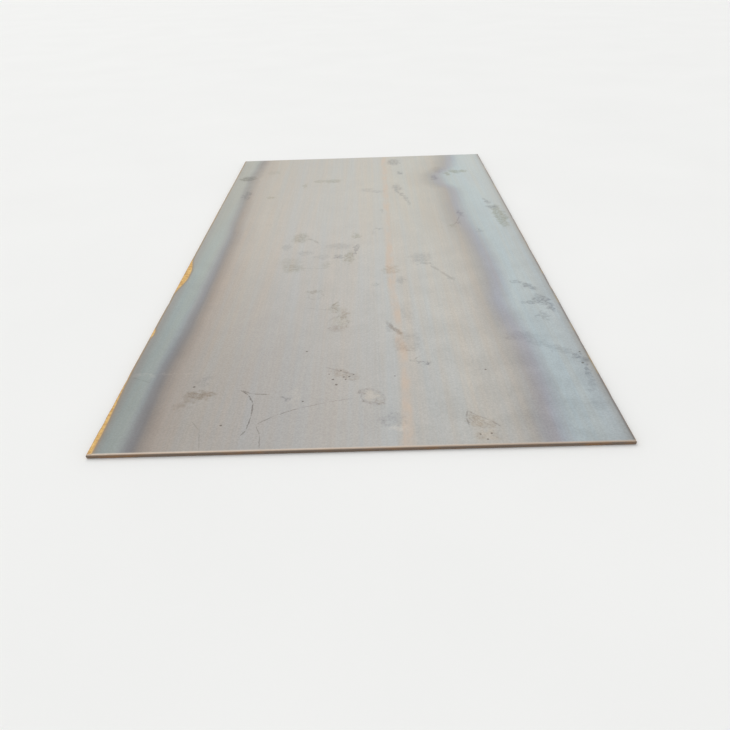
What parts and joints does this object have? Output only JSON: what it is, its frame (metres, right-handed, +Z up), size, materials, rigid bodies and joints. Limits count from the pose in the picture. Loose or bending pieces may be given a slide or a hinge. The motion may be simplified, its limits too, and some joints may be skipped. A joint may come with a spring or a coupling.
{
  "type": "steel plate",
  "caption": "Flat rectangular hot-rolled steel plate with rounded rolled long edges, sheared ends and a grey oxide skin, for cutting, welding or use as a base or cover.",
  "frame": {"origin": "middle of the underside, on the floor that the plate lies on", "axes": "+Y along the length, which is the rolling direction, +X across the width, +Z up through the thickness, out of the top face"},
  "size_m": [1.5, 3, 0.012],
  "materials": {
    "mill_scale_steel": "satin hot-rolled oxide skin, warm grey with blue-grey bands along both long edges and rust on the edges"
  },
  "bodies": {
    "root": {"plate": "mill_scale_steel"}
  },
  "joints": []
}
